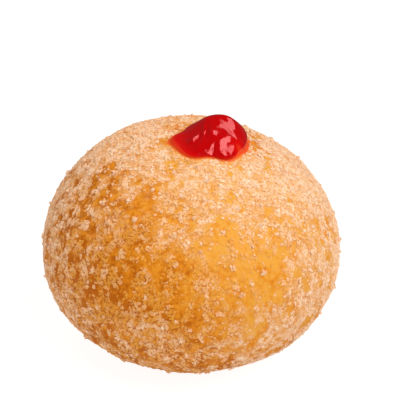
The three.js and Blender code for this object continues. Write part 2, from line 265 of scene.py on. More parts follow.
# Where the crust is browner or paler: turn, tilt, spread in degrees and browning. The foot and the lower
# left rim are painted shade near the table; the others make the crust darker on the left, the low middle and
# the back left, and paler on the right side and the crown.
BROWNINGS_AND_PAINTED_SHADE = {
    "left side": (-140, 12, 46, 0.45),
    "low middle": (-97, 14, 14, 0.2),
    # Painted shade under the doughnut, near the table.
    "foot": (-95, -42, 34, 0.85),
    "right side": (-45, 34, 48, -0.4),
    "crown": (-70, 75, 28, -0.4),
    "back left": (150, 8, 40, 0.45),
    # Painted shade at the lower left rim, near the table.
    "lower left rim": (-136, -40, 22, 0.8),
}

# Where the sugar looks whiter or clearer than elsewhere: turn, tilt, spread in degrees and whiteness. The
# rims are partly more sugar and partly a painted sheen of sugar seen edge on; the foot and the lower left
# rim are painted shade near the table.
WHITENESS = {
    "crown": (-90, 80, 34, 0.16),
    "left shoulder": (150, 45, 30, 0.27),
    # Partly more sugar, partly a painted sheen at the outline.
    "left rim": (180, 0, 20, 0.5),
    "right shoulder": (26, 34, 30, 0.8),
    # Partly more sugar, partly a painted sheen at the outline, here and at the lower right rim.
    "right rim": (-4, -4, 24, 1.0),
    "lower right rim": (-42, -25, 22, 0.6),
    "front left": (-122, 24, 30, -0.42),
    "front": (-88, 18, 24, -0.34),
    # Painted shade near the table, here and at the lower left rim.
    "foot": (-95, -44, 24, -0.34),
    "lower left rim": (-140, -38, 20, -0.3),
}

# Sugar: kind, how many grains, and the smallest and largest length of a grain's side.
GRAIN_KINDS = {
    "coarse": (12000, 0.8 * MM, 1.1 * MM),
    "middling": (16500, 0.6 * MM, 0.85 * MM),
    "small": (16500, 0.45 * MM, 0.65 * MM),
    "fine": (16500, 0.3 * MM, 0.48 * MM),
}

# How the clumps of sugar differ, as in the part's own source: the sines that roughen their places, the step
# and the power of the numbers that set their sizes, and the number of axes that they are turned about.
CLUMP_STEPS = (12.99, 78.23, 37.72)
CLUMP_SIZE_STEP = 0.7548777
CLUMP_RARITY = 1.5
CLUMP_AXES = 29

# Grains of a clump: how many; where the outer eight are, how far the others are from the middle at most and
# how far all of them are moved, as shares of the clump's side; their own share of it; and how far they lean.
CLUMP_GRAINS = 12
CLUMP_CORNERS = 0.56
CLUMP_CORE = 0.3
CLUMP_JITTER = 0.08
CLUMP_GRAIN_SHARE = (0.46, 0.66)
CLUMP_TILT = 0.5
CLUMP_SEEDS = 100  # from the sugar's seed to the clumps' own

# Grains: shares of the longest side, least and most; how far chips move a corner; how far a grain leans; and
# how far its middle is off the crust, as a share of its longest side.
GRAIN_SIDES = ([1, 0.5, 0.3], [1, 0.85, 0.48])
GRAIN_CHIPS = (0.72, 1.08)
GRAIN_TILT = 0.22
GRAIN_LIFT = (-0.1, 0.1)

# Where grains lie: how many places are tried for each grain; how near they come to the jelly, as a share of
# its outline, and to the table; the height of the lowest corner; the heights between which fewer and fewer
# stick towards the table, and the share of them that still does.
TRIES = 5
CLEAR_OF_RIM = 1.06
LOWEST_GRAIN = 0.5 * MM
LOWEST_CORNER = 0.02 * MM
FEWER_BELOW = (3 * MM, 12 * MM)
FEWER_SHARE = 0.35

# Sugar's coat: its usual thickness, how much thicker it is on the crown and from which height to which, how
# strong the named patches are, the cover from bare to full, and the chance of a grain where it is bare.
COAT = 0.74
CROWN_COAT = 0.25
CROWN_HEIGHTS = (34 * MM, 58 * MM)
PATCH_SHARE = 0.65
BARE_TO_FULL = (0.3, 1.0)
FEWEST = 0.06

# What breaks the coat up: size, the share that heights count for, so that it is drawn out down the sides,
# strength and seed.
FLECK = 1.4 * MM
COAT_NOISES = {
    "flecks": (FLECK, 0.7, 0.75, 21),
    "large flecks": (2 * FLECK, 0.5, 0.675, 22),
    "drifts": (6 * MM, 0.8, 0.25, 23),
}

# Whiteness of the sugar: usual of loose grains and of clumps, its flecks and their seed, how much it gains
# with the cover over the usual cover, and how much it varies from grain to grain.
WHITE_BASE = 0.47
CLUMP_WHITENESS = 0.8
WHITE_FLECKS = 0.6
WHITE_SEED = 51
WHITE_BY_COVER = 0.25
USUAL_COVER = 0.8
GRAINS_VARY = 0.08
CLUMP_GRAINS_VARY = 0.1

# A grain takes the colour of the crust at its foot: its share of its own whiteness there, how deep that
# starts, and how far above the crust a loose grain and a clump have all of it.
FOOT_WHITENESS = 0.25
FOOT_DEPTH = -0.05 * MM
WHITE_ABOVE = 0.16 * MM
CLUMP_WHITE_ABOVE = 1.2 * WHITE_ABOVE

# ---- The stage ----

# Softboxes: place and side in metres, power in watts, and whether the jelly mirrors it.
LIGHTS = {
    "key": ((0.36, -0.35, 0.62), 0.39, 2.7, True),
    "top": ((0.4, 0.15, 0.6), 0.44, 2.4, True),
    "fill": ((-0.42, -0.56, 0.45), 0.5, 2.05, False),
    "back left": ((-0.35, 0.25, 0.55), 0.8, 1.8, False),
}

FLOOR_REACH = 3  # metres from the doughnut to each edge of the floor


# ---- What a user would change ----


def length(name, description, metres):
    """A length in metres, 0 or more."""
    return FloatProperty(
        name=name, description=description, default=metres, min=0, unit="LENGTH", precision=5
    )


def place(name, description, metres):
    """A place along an axis in metres, on either side."""
    return FloatProperty(name=name, description=description, default=metres, unit="LENGTH", precision=5)


def share(name, description, value, lowest=0.0, highest=1.0):
    """A plain number between two limits."""
    return FloatProperty(name=name, description=description, default=value, min=lowest, max=highest)


def colour(name, description, value):
    """A linear colour."""
    return FloatVectorProperty(
        name=name, description=description, default=value, size=3, min=0, max=1, subtype="COLOR"
    )


class CrustSettings(bpy.types.PropertyGroup):
    """Sizes and colours of the fried crust"""

    width: length("Width", "Across the widest level, along X", 89.6 * MM)
    depth: length("Depth", "Across the widest level, along Y", 86.8 * MM)
    widest_level: length("Widest level", "Height of the widest level above the table", 27.9 * MM)
    crown_height: length("Crown height", "From the widest level to the top", 35.2 * MM)
    belly_power: share("Belly power", "Superellipse power under the widest level", 2.5, 2, 4)
    rest_share: share("Rest share", "Share of the belly's depth where the table flattens it", 0.97)
    level_underside: length("Level underside", "Height below which the unevenness fades", 9 * MM)
    segments: IntProperty(name="Segments", description="Round the doughnut", default=400, min=12)
    rings: IntProperty(name="Rings", description="From the top to the flat spot", default=240, min=8)
    inset: length("Inset", "How far the crust lies inside the form, to leave room for its sugar", 0.5 * MM)
    rest_fade: length("Rest fade", "Height over which the inset fades out where it rests", 3 * MM)
    gold: colour("Gold", "Lightest fried crust", (0.85, 0.375, 0.048))
    amber: colour("Amber", "Usual fried crust", (0.78, 0.26, 0.013))
    brown: colour("Brown", "Darkest fried crust", (0.51, 0.122, 0.003))
    film: colour("Sugar film", "Dust of sugar on the crust", (0.9, 0.56, 0.28))
    syrup: colour("Syrup", "Crust soaked by the jelly", (0.88, 0.24, 0.03))
    stain: colour("Stain", "Crust under the jelly's rim", (0.88, 0.1, 0.02))


class JellySettings(bpy.types.PropertyGroup):
    """Sizes and colours of the jelly"""

    x: place("X", "Middle of the jelly, right of the axis", 5.5 * MM)
    y: place("Y", "Middle of the jelly, behind the axis", 5 * MM)
    radius: length("Radius", "Mean radius of its outline", 9.7 * MM)
    stretch: share("Stretch", "How much longer it is along X than across", 0.075)
    undercut: share("Undercut", "Share of the cap that lies under its widest level", 0.35)
    foot_depth: length("Foot depth", "How deep its foot is bedded in the crust", 2.2 * MM)
    neck_depth: length("Neck depth", "How deep the neck goes into the hole", 10 * MM)
    neck_tip: share("Neck tip", "Depth of the neck's end, as a share of the neck's depth", 1.04, 1, 2)
    low: length("Low end", "Thickness at the tip", 1.6 * MM)
    high: length("High end", "Thickness at the right", 5.2 * MM)
    low_x: place("Low X", "Where it is thinnest", -4 * MM)
    high_x: place("High X", "Where it is thickest", 8.2 * MM)
    bite: length("Bite", "How far the jelly's foot presses into the crust, so that no slot shows", 0.15 * MM)
    collar: length("Collar", "How far the crust rises to the jelly's overhanging rim", 0.3 * MM)
    segments: IntProperty(name="Segments", description="Round the jelly", default=260, min=12)
    cap_rings: IntProperty(name="Cap rings", description="Over its cap", default=110, min=4)
    red: colour("Red", "Deep jelly", (0.54, 0.0, 0.001))
    bright: colour("Bright", "Thinner jelly", (0.8, 0.003, 0.002))
    edge: colour("Edge", "Rim of the jelly over the crust", (0.92, 0.09, 0.015))


class SugarSettings(bpy.types.PropertyGroup):
    """Sizes, number and colour of the sugar"""

    seed: IntProperty(name="Seed", description="Seed of every random draw", default=11)
    clump_places: IntProperty(name="Clump places", description="Clumps on the whole sphere", default=270)
    clump_scatter: share("Clump scatter", "How far a clump is off the even spiral", 0.045)
    smallest_clump: length("Smallest clump", "Longest side of the smallest clump", 0.9 * MM)
    largest_clump: length("Largest clump", "Longest side of the largest clump", 1.7 * MM)
    clump_breadth: share("Clump breadth", "Share of the longest side", 0.86)
    clump_thickness: share("Clump thickness", "Share of the longest side", 0.68)
    clump_sunk: share("Clump sunk", "Depth of a clump's middle in the crust, share of its side", 0.28)
    clear_of_jelly: length("Clear of jelly", "No clump is this near the jelly", 2.4 * MM)
    lowest_clump: length("Lowest clump", "No clump is this near the table", 4.5 * MM)
    clearness: share("Clearness", "How far a clear grain lights up the crust under it", 0.75)
    white: colour("White", "The sugar itself", (0.98, 0.69, 0.46))


class StageSettings(bpy.types.PropertyGroup):
    """Camera, floor and even light"""

    camera_elevation: FloatProperty(
        name="Camera elevation", description="Above the table", default=math.radians(40), subtype="ANGLE"
    )
    camera_distance: length("Camera distance", "From the middle of the doughnut", 0.52)
    pixels_per_metre: FloatProperty(
        name="Picture scale", description="Pixels of a 400 pixel picture for a metre", default=3327
    )
    middle_x: share("Middle X", "Pixel of the doughnut's middle, from the left", 191.2, 0, PICTURE)
    middle_y: share("Middle Y", "Pixel of the doughnut's middle, from the top", 243.1, 0, PICTURE)
    floor: colour("Floor", "Pale floor", (0.25, 0.25, 0.25))
    floor_glow: share("Floor glow", "Light that the floor gives itself", 0.88, 0, 10)
    sky: share("Sky", "Strength of the even light", 0.07, 0, 10)


# ---- Shapes ----


def bump(distance, spread):
    """Gaussian fall-off: 1 at the middle, 0.37 at one spread."""
    return np.exp(-((distance / spread) ** 2))


def smooth(value, low, high):
    """Smoothstep: 0 at low, 1 at high and level at both ends."""
    part = np.clip((value - low) / (high - low), 0, 1)
    return part * part * (3 - 2 * part)


def direction(turn, tilt):
    """Unit vectors at a turn from +X towards +Y and a tilt above the horizontal, both in degrees."""
    turn, tilt = np.radians(turn), np.radians(tilt)
    return np.stack([np.cos(tilt) * np.cos(turn), np.cos(tilt) * np.sin(turn), np.sin(tilt)], -1)


def even_directions(count):
    """Unit vectors spread evenly over the sphere: even steps of height, golden steps of turn."""
    number = np.arange(count)
    z = 1 - 2 * (number + 0.5) / count
    across = np.sqrt(1 - z * z)
    return np.stack([across * np.cos(number * GOLDEN_ANGLE), across * np.sin(number * GOLDEN_ANGLE), z], -1)


def unit(vectors):
    """Vectors made one long."""
    return vectors / np.linalg.norm(vectors, axis=-1, keepdims=True)


def lattice_noise(points, cell, seed):
    """Noise from -1 to 1: a random value at each corner of a cubic lattice, blended by smoothstep."""
    table = np.random.default_rng(seed).uniform(-1, 1, LATTICE_VALUES)
    scaled = points / cell + LATTICE_SHIFT
    corner = np.floor(scaled).astype(np.int64)
    part = smooth(scaled - corner, 0, 1)
    total = np.zeros(points.shape[:-1])
    for step in np.ndindex(2, 2, 2):
        value = table[(corner + step) @ LATTICE_STRIDES % LATTICE_VALUES]
        total += value * np.prod(np.where(step, part, 1 - part), axis=-1)
    return total


def section(crust, count):
    """Half of the doughnut's section from the top to the rim of the flat spot, as out and height: an
    ellipse above the widest level and a superellipse below it, with its points an even length apart."""
    rest_angle = math.asin(crust.rest_share ** (crust.belly_power / 2))
    angle = np.linspace(-np.pi / 2, rest_angle, SECTION_STEPS)
    on_crown = angle <= 0
    power = np.where(on_crown, 1, 2 / crust.belly_power)
    rise = np.where(on_crown, crust.crown_height, -crust.widest_level / crust.rest_share)
    out = crust.width / 2 * np.clip(np.cos(angle), 0, 1) ** power
    height = crust.widest_level + rise * np.abs(np.sin(angle)) ** power
    travelled = np.concatenate([[0], np.cumsum(np.hypot(np.diff(out), np.diff(height)))])
    even = np.linspace(0, travelled[-1], count)
    return np.interp(even, travelled, out), np.interp(even, travelled, height)


def unevenness(crust, points):
    """How far the crust stands outside the regular form: plane waves in many directions, and the swells."""
    towards = unit(points - [0, 0, crust.widest_level])
    rise = np.zeros(points.shape[:-1])
    for wavelength, height, count in SKIN_WAVES:
        for i, along in enumerate(even_directions(count)):
            phase = points @ along / wavelength + i * i * GOLDEN_SHARE
            rise += height / math.sqrt(count) * np.sin(TURN * phase)
    for turn, tilt, swell, spread in SWELLS.values():
        off = np.degrees(np.arccos(np.clip(towards @ direction(turn, tilt), -1, 1)))
        rise += swell * bump(off, spread)
    return rise * smooth(points[..., 2], 0, crust.level_underside)


def crust_points(crust, out, height, turn):
    """The section's points turned about the axis, then moved out or in by the unevenness, and in by the
    inset, which fades out where the doughnut rests."""
    regular = np.stack(
        [out * np.cos(turn), out * crust.depth / crust.width * np.sin(turn), height + 0 * turn], -1
    )
    towards = unit(regular - [0, 0, crust.widest_level])
    inset = crust.inset * smooth(regular[..., 2], 0, crust.rest_fade)
    return regular + towards * (unevenness(crust, regular) - inset)[..., None]


def crown_height(crust, x, y):
    """Height of the crown over a point in plan, near the top, where it faces up."""
    inside = 1 - (2 * x / crust.width) ** 2 - (2 * y / crust.depth) ** 2
    z = crust.widest_level + crust.crown_height * np.sqrt(np.clip(inside, 0, None))
    return z + unevenness(crust, np.stack([x, y, z], -1))


def outline_radius(jelly, turn):
    """Radius of the jelly's outline in plan: a slight oval with lobes."""
    radius = jelly.radius * (1 + jelly.stretch * np.cos(2 * turn))
    for lobe_turn, grow, spread in OUTLINE_LOBES.values():
        off = np.abs((np.degrees(turn) - lobe_turn + 180) % 360 - 180)
        radius = radius + grow * bump(off, spread)
    return radius


def dollop_height(jelly, x, y):
    """Thickness of the jelly over a point in plan: a smooth rise from its tip to its right, with mounds."""
    height = jelly.low + (jelly.high - jelly.low) * smooth(x, jelly.low_x, jelly.high_x)
    for mound_x, mound_y, rise, spread in MOUNDS.values():
        height = height + rise * bump(np.hypot(x - mound_x, y - mound_y), spread)
    return height


def fold_height(x, y):
    """Rise of the folds over a point in plan: each is a leaning oval mound or hollow."""
    total = 0 * x
    for fold_x, fold_y, rise, along, across, heading in FOLDS.values():
        heading = math.radians(heading)
        u = ((x - fold_x) * math.cos(heading) + (y - fold_y) * math.sin(heading)) / along
        v = ((y - fold_y) * math.cos(heading) - (x - fold_x) * math.sin(heading)) / across
        total += rise * np.exp(-u * u - v * v)
    return total


def share_of_outline(jelly, points):
    """How far out each point is in plan from the jelly's middle: 1 on the jelly's outline."""
    x, y = points[..., 0] - jelly.x, points[..., 1] - jelly.y
    return np.hypot(x, y) / outline_radius(jelly, np.arctan2(y, x))


def meet_jelly(crust, jelly, points):
    """Takes the inset back next to the jelly, so that the crust meets the jelly's rim."""
    close = 1 - smooth(share_of_outline(jelly, points), 1, INSET_BACK_AT)
    close = np.where(points[..., 2] > crust.widest_level, close, 0)
    return points + unit(points - [0, 0, crust.widest_level]) * (crust.inset * close)[..., None]


def spot_sum(points, spots):
    """The sum of round Gaussian spots, each named by its place in plan."""
    total = np.zeros(points.shape[:-1])
    for x, y, spread, amount in spots.values():
        total += amount * bump(np.hypot(points[..., 0] - x, points[..., 1] - y), spread)
    return total


def recess_depth(jelly, points):
    """Depth of the bed and the hole under the jelly, which follow the jelly's underside just inside it."""
    x, y = points[..., 0] - jelly.x, points[..., 1] - jelly.y
    radius = outline_radius(jelly, np.arctan2(y, x))
    within = (np.hypot(x, y) + jelly.bite) / radius
    rim = math.sqrt(1 - jelly.undercut**2)
    shares = [0, *(row[0] for row in UNDERSIDE[::-1]), rim]
    depths = [jelly.foot_depth + jelly.neck_depth * jelly.neck_tip]
    depths += [row[1] * jelly.foot_depth + row[2] * jelly.neck_depth for row in UNDERSIDE[::-1]]
    depth = np.interp(within, shares, [*depths, 0])
    return np.clip(depth - jelly.bite, 0, None)


# ---- Meshes ----


def mesh_object(name, points, face_sets, material, smooth_faces=True):
    """A mesh object from an array of points and arrays of faces, one array for each number of corners."""
    mesh = bpy.data.meshes.new(name)
    mesh.vertices.add(len(points))
    mesh.vertices.foreach_set("co", points.astype(np.float32).ravel())
    corners = np.concatenate([faces.ravel() for faces in face_sets]).astype(np.int32)
    sides = np.concatenate([np.full(len(faces), faces.shape[1]) for faces in face_sets])
    starts = np.concatenate([[0], np.cumsum(sides)[:-1]]).astype(np.int32)
    mesh.loops.add(len(corners))
    mesh.loops.foreach_set("vertex_index", corners)
    mesh.polygons.add(len(sides))
    mesh.polygons.foreach_set("loop_start", starts)
    mesh.polygons.foreach_set("use_smooth", np.full(len(sides), smooth_faces))
    mesh.update(calc_edges=True)
    mesh.validate()
    mesh.materials.append(material)
    made = bpy.data.objects.new(name, mesh)
    bpy.context.scene.collection.objects.link(made)
    return made


def add_values(made, name, values):
    """A number for each point of a mesh, which its material reads."""
    layer = made.data.attributes.new(name, "FLOAT", "POINT")
    layer.data.foreach_set("value", values.astype(np.float32).ravel())


def closed_faces(rings, segments):
    """Faces of a surface of rings between a top point, number 0, and a bottom point, the last one. They
    face out when the rings go down."""
    here = np.arange(segments)
    ahead = (here + 1) % segments
    first = 1 + np.arange(rings - 1)[:, None] * segments
    quads = np.stack([first + here, first + segments + here, first + segments + ahead, first + ahead], -1)
    last = 1 + (rings - 1) * segments
    top = np.stack([0 * here, 1 + here, 1 + ahead], -1)
    bottom = np.stack([0 * here + last + segments, last + ahead, last + here], -1)
    return [quads.reshape(-1, 4), top, bottom]


def finish_piece(made, node=None):
    """Rides a piece on the doughnut's body, and hides the imported part that it stands for, if one is given.
    """
    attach(made, BODY)
    if node:
        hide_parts(node)


# ---- Materials ----


class Shader:
    """A material's node tree, with short ways to add nodes and links."""

    def __init__(self, name):
        self.material = bpy.data.materials.new(name)
        self.material.use_nodes = True
        self.tree = self.material.node_tree
        self.surface = self.tree.nodes["Principled BSDF"]
        self.place = self.tree.nodes.new("ShaderNodeTexCoord").outputs["Object"]

    def node(self, kind, inputs, **settings):
        """A new node, with its settings and what feeds its inputs."""
        made = self.tree.nodes.new(kind)
        for name, value in settings.items():
            setattr(made, name, value)
        for name, value in inputs.items():
            self.feed(made.inputs[name], value)
        return made

    def feed(self, socket, value):
        """Links an output to a socket, or sets the socket's own value."""
        if isinstance(value, bpy.types.NodeSocket):
            self.tree.links.new(value, socket)
        elif isinstance(socket, bpy.types.NodeSocketColor) and len(value) == 3:
            socket.default_value = (*value, 1)
        else:
            socket.default_value = value

    def set(self, **values):
        """Sets or links the surface's sockets by their names."""
        for name, value in values.items():
            self.feed(self.surface.inputs[name.replace("_", " ")], value)

    def value(self, name):
        """The number that each point of the mesh holds under a name."""
        return self.node("ShaderNodeAttribute", {}, attribute_name=name).outputs["Fac"]

    def noise(self, size, detail=2.0, roughness=0.5):
        """Noise whose features are about the given size."""
        inputs = {"Vector": self.place, "Scale": 1 / size, "Detail": detail, "Roughness": roughness}
        return self.node("ShaderNodeTexNoise", inputs).outputs["Fac"]

    def maths(self, operation, a, b, clamp=False):
        """Two values added or multiplied, held from 0 to 1 where it is clamped."""
        made = self.node("ShaderNodeMath", {0: a, 1: b}, operation=operation, use_clamp=clamp)
        return made.outputs[0]

    def rescale(self, value, low, high, to_low=0.0, to_high=1.0):
        """A value moved from one range to another, and held inside it."""
        inputs = {"Value": value, "From Min": low, "From Max": high, "To Min": to_low, "To Max": to_high}
        return self.node("ShaderNodeMapRange", inputs).outputs["Result"]

    def mix(self, share_of_b, a, b):
        """Two colours mixed. A mixer of colours has its share, a and b in inputs 0, 6 and 7."""
        mixer = self.node("ShaderNodeMix", {}, data_type="RGBA")
        self.feed(mixer.inputs[0], share_of_b)
        self.feed(mixer.inputs[6], a)
        self.feed(mixer.inputs[7], b)
        return mixer.outputs[2]

    def bump(self, height, distance, strength):
        """The normal of a surface that rises by the height, 1 being the distance."""
        inputs = {"Height": height, "Distance": distance, "Strength": strength}
        return self.node("ShaderNodeBump", inputs).outputs["Normal"]


def fried_colour(shader, crust):
    """Gold to amber to brown by the browning, which holds painted shade near the table, mottled in large,
    small and fine spots.
    """
    browning = shader.value("browning")
    for size, strength in MOTTLES:
        mottle = shader.rescale(shader.noise(size), *MOTTLE_SPAN, -strength, strength)
        browning = shader.maths("ADD", browning, mottle)
    skin = shader.mix(shader.rescale(browning, 0, AMBER_AT), tuple(crust.gold), tuple(crust.amber))
    return shader.mix(shader.rescale(browning, AMBER_AT, 1), skin, tuple(crust.brown))


def crust_material(crust):
    """Fried crust: gold to brown under a film of sugar dust, with painted shade in the brown near the table,
    soaked and stained by the jelly, with the pores and the fine wrinkles of its skin as bump."""
    shader = Shader("fried_crust")
    skin = fried_colour(shader, crust)
    dust = shader.noise(DUST, detail=3, roughness=0.7)
    dust = shader.rescale(dust, *DUST_SPAN, *DUST_STRENGTH)
    film = shader.maths("MULTIPLY", shader.value("film"), dust, clamp=True)
    skin = shader.mix(film, skin, tuple(crust.film))
    syrup = shader.value("syrup")
    skin = shader.mix(syrup, skin, tuple(crust.syrup))
    skin = shader.mix(shader.rescale(syrup, *STAIN_IN), skin, tuple(crust.stain))
    rough = shader.rescale(syrup, 0, 1, *DRY_TO_SOAKED)
    wrinkles = shader.maths("MULTIPLY", shader.noise(WRINKLES), WRINKLE_SHARE)
    relief = shader.maths("ADD", shader.noise(PORES, detail=3, roughness=0.6), wrinkles)
    shader.set(Base_Color=skin, Roughness=rough, Normal=shader.bump(relief, SKIN_DEPTH, strength=0.8))
    shader.set(Specular_IOR_Level=0.08)
    shader.set(Subsurface_Weight=0.12, Subsurface_Radius=(3.0, 1.3, 0.5), Subsurface_Scale=1 * MM)
    return shader.material


def sugar_material(sugar, crust):
    """Granulated sugar: clear grains that take the colour of the crust under them, lit up with gold, and
    whiter ones, by each grain's own whiteness."""
    shader = Shader("granulated_sugar")
    under = shader.mix(sugar.clearness, fried_colour(shader, crust), tuple(crust.gold))
    grain = shader.mix(shader.value("whiteness"), under, tuple(sugar.white))
    shader.set(Base_Color=grain, Roughness=0.35, Specular_IOR_Level=0.2)
    return shader.material


def jelly_material(jelly):
    """Wet red jelly: deep red where it is thick, bright red where it is thin and where painted light shows
    through it, and orange red at its rim, with a glossy skin."""
    shader = Shader("red_jelly")
    thin = shader.value("thin")
    body = shader.mix(thin, tuple(jelly.red), tuple(jelly.bright))
    body = shader.mix(shader.rescale(thin, *EDGE_IN), body, tuple(jelly.edge))
    shader.set(Base_Color=body, Roughness=0.1, Specular_IOR_Level=0.95, Specular_Tint=(1, 0.4, 0.4))
    shader.set(Normal=shader.bump(shader.noise(LUMPS, roughness=0.45), LUMP_DEPTH, strength=0.5))
    shader.set(Subsurface_Weight=0.25, Subsurface_Radius=(3.0, 0.2, 0.1), Subsurface_Scale=1 * MM)
    return shader.material


def floor_material(stage):
    """White card that glows a little, so that the shadow on it stays faint."""
    shader = Shader("floor")
    shader.set(Base_Color=tuple(stage.floor), Roughness=0.9, Specular_IOR_Level=0.0)
    shader.set(Emission_Color=(1, 1, 1), Emission_Strength=stage.floor_glow)
    return shader.material


# ---- Where the crust is brown, sugared or wet ----


def patch_sugar(crust, points):
    """Sugar added or rubbed off by the named patches: each a leaning oval Gaussian on the crust."""
    towards = unit(points - [0, 0, crust.widest_level])
    turn = np.degrees(np.arctan2(towards[..., 1], towards[..., 0]))
    tilt = np.degrees(np.arcsin(np.clip(towards[..., 2], -1, 1)))
    out = np.hypot(points[..., 0], points[..., 1])
    reach = np.linalg.norm(points - [0, 0, crust.widest_level], axis=-1)
    total = np.zeros(points.shape[:-1])
    for at_turn, at_tilt, across, along, lean, amount in PATCHES.values():
        aside = np.radians((turn - at_turn + 180) % 360 - 180) * out
        up = np.radians(tilt - at_tilt) * reach
        lean = math.radians(lean)
        u = aside * math.cos(lean) + up * math.sin(lean)
        v = up * math.cos(lean) - aside * math.sin(lean)
        total += amount * np.exp(-((u / across) ** 2) - ((v / along) ** 2))
    return total


def area_sum(crust, points, areas):
    """The sum of round Gaussian areas, each named by the direction of its middle from the doughnut's."""
    towards = unit(points - [0, 0, crust.widest_level])
    total = np.zeros(points.shape[:-1])
    for turn, tilt, spread, amount in areas.values():
        off = np.degrees(np.arccos(np.clip(towards @ direction(turn, tilt), -1, 1)))
        total += amount * bump(off, spread)
    return total


def browning_at(crust, points):
    """Browning of the crust, with painted shade near the table: the named areas, and drifts of lattice
    noise.
    """
    size, strength, seed = BROWNING_DRIFTS
    drifts = strength * lattice_noise(points, size, seed)
    return USUAL_BROWNING + area_sum(crust, points, BROWNINGS_AND_PAINTED_SHADE) + drifts


def sugar_cover(crust, points):
    """How much sugar lies at a point, about 0 to 1.5: an even coat, thicker on the crown, broken into
    flecks and drifts that are drawn out down the sides, and the named patches."""
    cover = COAT + CROWN_COAT * smooth(points[..., 2], *CROWN_HEIGHTS)
    for size, height_share, strength, seed in COAT_NOISES.values():
        cover += strength * lattice_noise(points * [1, 1, height_share], size, seed)
    return cover + PATCH_SHARE * patch_sugar(crust, points)


def film_at(crust, points):
    """How strong the film of sugar dust on the crust is: with the cover, and by how white the sugar is,
    which holds a painted sheen at the rims and painted shade near the table.
    """
    white = USUAL_FILM + area_sum(crust, points, WHITENESS)
    return np.clip(smooth(sugar_cover(crust, points), *FILM_IN) * white, 0, 1)


def wetness(jelly, points):
    """How wet with jelly the crust is: all of it under the jelly's rim, and the named spots beside it."""
    under_rim = 1 - smooth(share_of_outline(jelly, points), *WET_OUT)
    return np.clip(under_rim + spot_sum(points, SOAKED), 0, 1)


# ---- Pieces ----


class DOUGHNUT_OT_crust(bpy.types.Operator):
    """Make the fried crust, with its bed and hole for the jelly"""

    bl_idname = "doughnut.crust"
    bl_label = "Crust"

    def execute(self, context):
        crust, jelly = context.scene.doughnut_crust, context.scene.doughnut_jelly
        out, height = section(crust, crust.rings + 1)
        turn = np.linspace(0, TURN, crust.segments, endpoint=False)
        rings = crust_points(crust, out[1:, None], height[1:, None], turn[None])
        top = crust_points(crust, out[:1], height[:1], turn[:1])
        skin = np.concatenate([top, rings.reshape(-1, 3), [[0, 0, 0]]])
        skin = meet_jelly(crust, jelly, skin)
        outward = unit(skin - [0, 0, crust.widest_level])
        blisters = sum(part * lattice_noise(skin, size, seed) for size, part, seed in BLISTERS)
        blisters *= BLISTER_HEIGHT * smooth(skin[:, 2], 0, crust.level_underside)
        points = skin + outward * blisters[:, None]
        near_top = points[:, 2] > crust.widest_level
        collar = jelly.collar * bump(share_of_outline(jelly, skin) - COLLAR_AT, COLLAR_SPREAD)
        points[:, 2] += np.where(near_top, collar - recess_depth(jelly, points), 0)
        faces = closed_faces(crust.rings, crust.segments)
        made = mesh_object("crust", points, faces, crust_material(crust))
        add_values(made, "browning", browning_at(crust, skin))
        add_values(made, "film", film_at(crust, skin))
        add_values(made, "syrup", np.where(near_top, MOST_SYRUP * wetness(jelly, skin), 0))
        finish_piece(made, "dough")
        return {"FINISHED"}


class DOUGHNUT_OT_jelly(bpy.types.Operator):
    """Make the jelly: the dollop, its bedded foot and the neck in the hole"""

    bl_idname = "doughnut.jelly"
    bl_label = "Jelly"

    def execute(self, context):
        crust, jelly = context.scene.doughnut_crust, context.scene.doughnut_jelly
        turn = np.linspace(0, TURN, jelly.segments, endpoint=False)
        angle = np.linspace(0, math.acos(-jelly.undercut), jelly.cap_rings + 1)
        under = np.array(UNDERSIDE)
        fine = np.linspace(0, len(under) - 1, RINGS_IN_A_ROW * len(under))
        rows = np.stack([np.interp(fine, np.arange(len(under)), column) for column in under.T], -1)
        out = np.concatenate([np.sin(angle), rows[:, 0], [0]])
        over = np.concatenate([(np.cos(angle) + jelly.undercut) / (1 + jelly.undercut), 0 * rows[:, 0], [0]])
        foot = np.concatenate([0 * angle, rows[:, 1], [1]]) * jelly.foot_depth
        neck = np.concatenate([0 * angle, rows[:, 2], [jelly.neck_tip]]) * jelly.neck_depth
        reach = out[:, None] * outline_radius(jelly, turn)[None]
        x, y = jelly.x + reach * np.cos(turn), jelly.y + reach * np.sin(turn)
        thick = np.clip(over, 0, 1)[:, None] * dollop_height(jelly, x, y)
        z = crown_height(crust, x, y) + thick - (foot + neck)[:, None]
        surface = np.stack([x, y, z], -1)
        points = np.concatenate([surface[:1, 0], surface[1:-1].reshape(-1, 3), surface[-1:, 0]])
        raised = np.concatenate([thick[:1, 0], thick[1:-1].ravel(), [0]])
        points[:, 2] += fold_height(points[:, 0], points[:, 1]) * smooth(raised, *FOLDS_IN)
        faces = closed_faces(len(surface) - 2, jelly.segments)
        made = mesh_object("jelly_dollop", points, faces, jelly_material(jelly))
        # The lit-through spots are painted light: they give the jelly the colour of thin jelly near its rim.
        thin = 1 - smooth(raised, *THIN_TO_THICK) + spot_sum(points, LIT_THROUGH)
        add_values(made, "thin", np.clip(thin, 0, 1))
        finish_piece(made, "jelly")
        return {"FINISHED"}


# A block of side 1 about the origin, with its faces pointing out.
BLOCK = np.array([[x, y, z] for x in (-0.5, 0.5) for y in (-0.5, 0.5) for z in (-0.5, 0.5)])
BLOCK_FACES = np.array(
    [[0, 1, 3, 2], [4, 6, 7, 5], [0, 4, 5, 1], [2, 3, 7, 6], [0, 2, 6, 4], [1, 5, 7, 3]]
)


def lying_turns(draw, normals, tilt):
    """Rotation matrices that lay a block's shortest side along a normal, more or less, with its longest
    side any way across it."""
    up = unit(normals + draw.normal(0, tilt, normals.shape))
    along = unit(np.cross(draw.normal(size=normals.shape), up))
    return np.stack([along, np.cross(up, along), up], -1)


